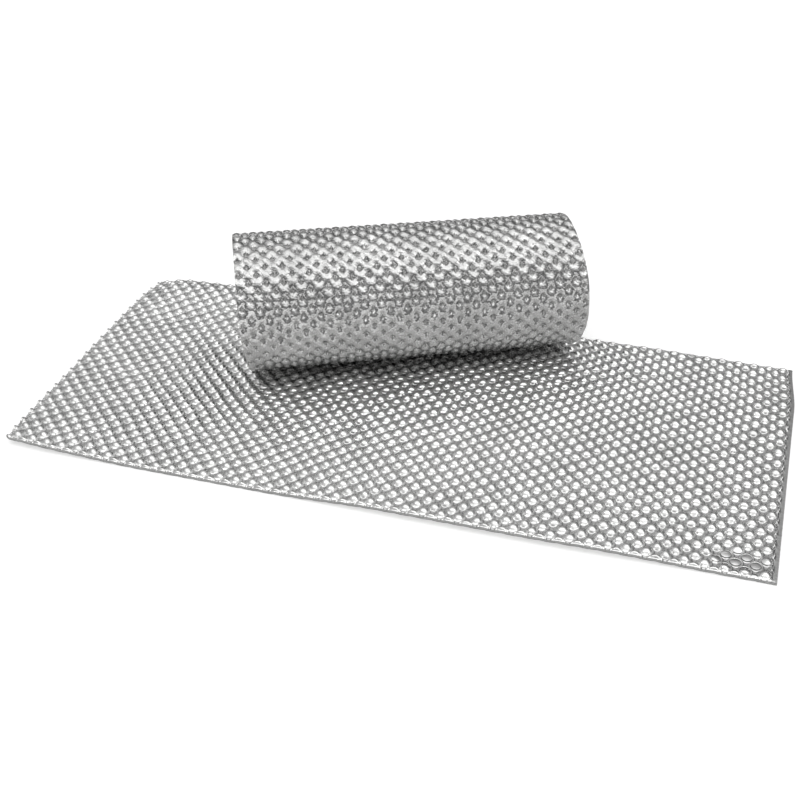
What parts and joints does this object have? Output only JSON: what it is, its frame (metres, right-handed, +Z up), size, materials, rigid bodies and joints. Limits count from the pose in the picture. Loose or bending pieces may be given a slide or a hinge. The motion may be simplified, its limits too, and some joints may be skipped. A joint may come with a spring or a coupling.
{
  "type": "foil-faced foam sleeping pad pair",
  "caption": "Thin foil-faced foam sleeping pad embossed with round domes, laid out flat, with a matching pad rolled into a tube and resting on it.",
  "frame": {"origin": "on the ground, under the middle of the bounding box of the laid pad and the roll together", "axes": "+X along the laid pad's long side, +Y across it towards the edge that the roll overhangs, +Z up"},
  "size_m": [1.1826, 0.653, 0.2345],
  "materials": {
    "foil_face": "bright embossed foil laminate with a soft mirror shine",
    "foam_core": "matte closed-cell foam"
  },
  "bodies": {
    "laid_pad": {"bottom_foil_middle": "foil_face", "foam_core_middle": "foam_core", "top_foil_middle": "foil_face"},
    "left_end": {"bottom_foil_left_end": "foil_face", "foam_core_left_end": "foam_core", "top_foil_left_end": "foil_face"},
    "right_end": {"bottom_foil_right_end": "foil_face", "foam_core_right_end": "foam_core", "top_foil_right_end": "foil_face"},
    "rolled_pad": {"rolled_outer_foil": "foil_face", "rolled_foam_core": "foam_core", "rolled_inner_foil": "foil_face"}
  },
  "joints": [
    {"name": "roll_lift", "type": "slide", "parent": "laid_pad", "child": "rolled_pad", "axis": [0, 0, 1], "range_m": [0, 0.3]},
    {"name": "left_end_bend", "type": "hinge", "parent": "laid_pad", "child": "left_end", "pos_m": [-0.3942, -0.0498, 0.0146], "axis": [0, 1, 0], "range_deg": [0, 90]},
    {"name": "right_end_bend", "type": "hinge", "parent": "laid_pad", "child": "right_end", "pos_m": [0.3321, -0.0498, 0.0216], "axis": [0, -1, 0], "range_deg": [0, 90]}
  ]
}
